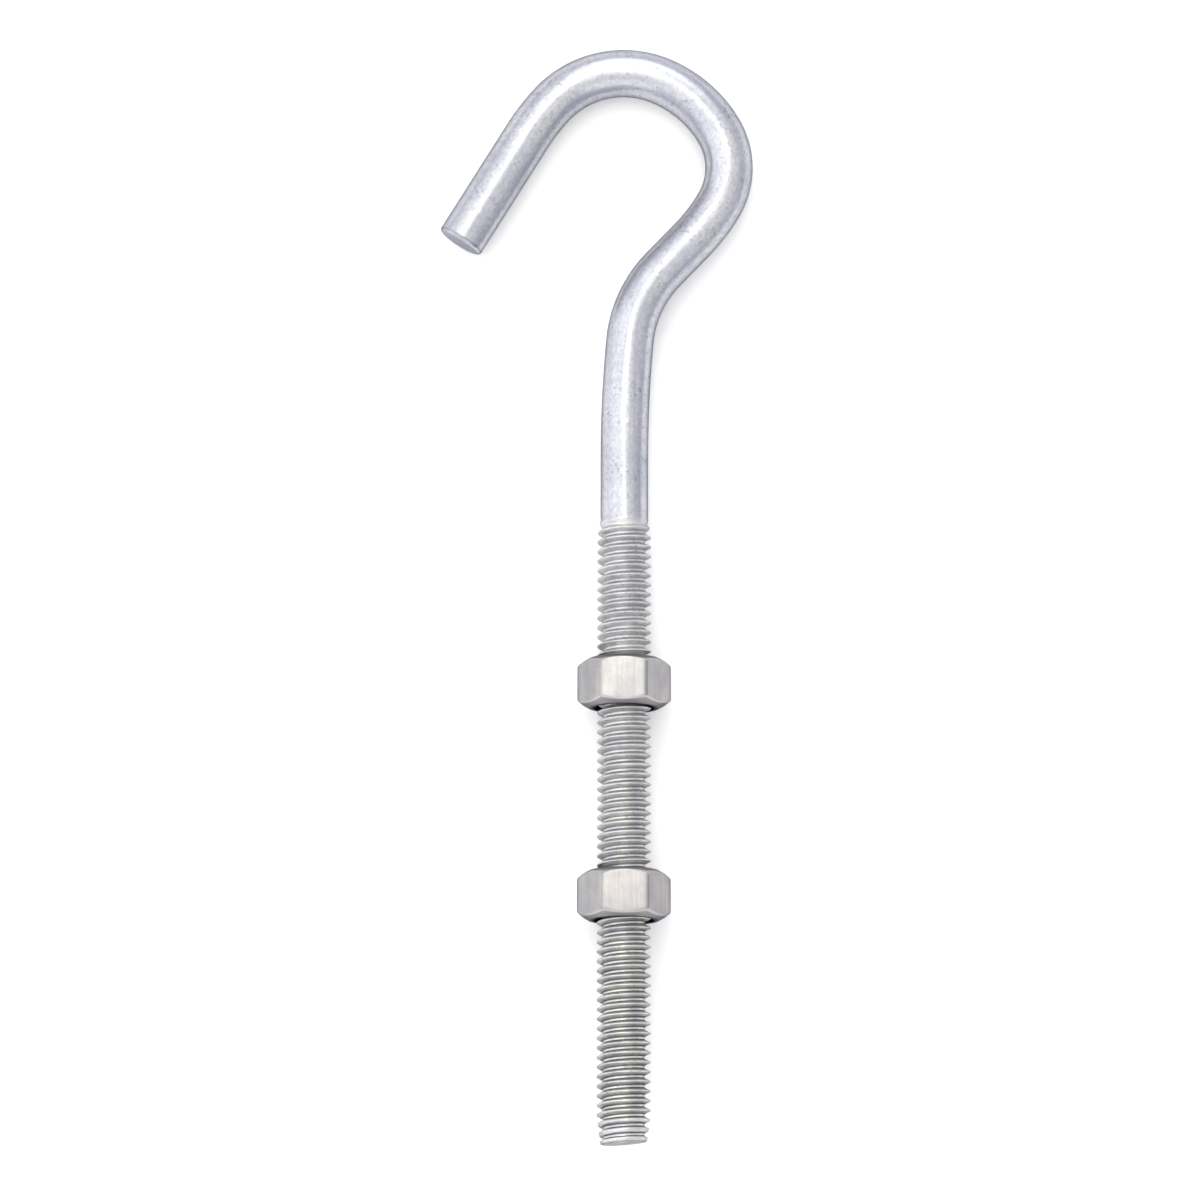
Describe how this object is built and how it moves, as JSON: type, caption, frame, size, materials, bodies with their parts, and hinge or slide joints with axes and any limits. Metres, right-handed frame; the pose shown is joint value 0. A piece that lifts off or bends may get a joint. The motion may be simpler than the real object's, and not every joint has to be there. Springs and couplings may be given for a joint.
{
  "type": "clothesline hook bolt",
  "caption": "Zinc-plated hook bolt: a threaded rod bent into an open hook, with hex nuts that clamp it to a post.",
  "frame": {"origin": "on the bolt's axis, where the plain shank leaves the thread", "axes": "+Y along the bolt's axis towards the hook, the thread runs towards -Y, +X is the side that the bowl swings to and the tip is on the -X side, +Z is square to the hook's plane"},
  "size_m": [0.0461, 0.163, 0.0122],
  "materials": {
    "bolt_zinc": "bright zinc plate",
    "nut_zinc": "satin zinc plate"
  },
  "bodies": {
    "bolt": {"hook_bolt": "bolt_zinc"},
    "front_nut_body": {"front_nut": "nut_zinc"},
    "rear_nut_body": {"rear_nut": "nut_zinc"}
  },
  "joints": [
    {"name": "front_nut_travel", "type": "slide", "parent": "bolt", "child": "front_nut_body", "axis": [0, 1, 0], "range_m": [-0.01129, 0.01693]},
    {"name": "rear_nut_travel", "type": "slide", "parent": "bolt", "child": "rear_nut_body", "axis": [0, -1, 0], "range_m": [-0.01129, 0.03104]}
  ]
}
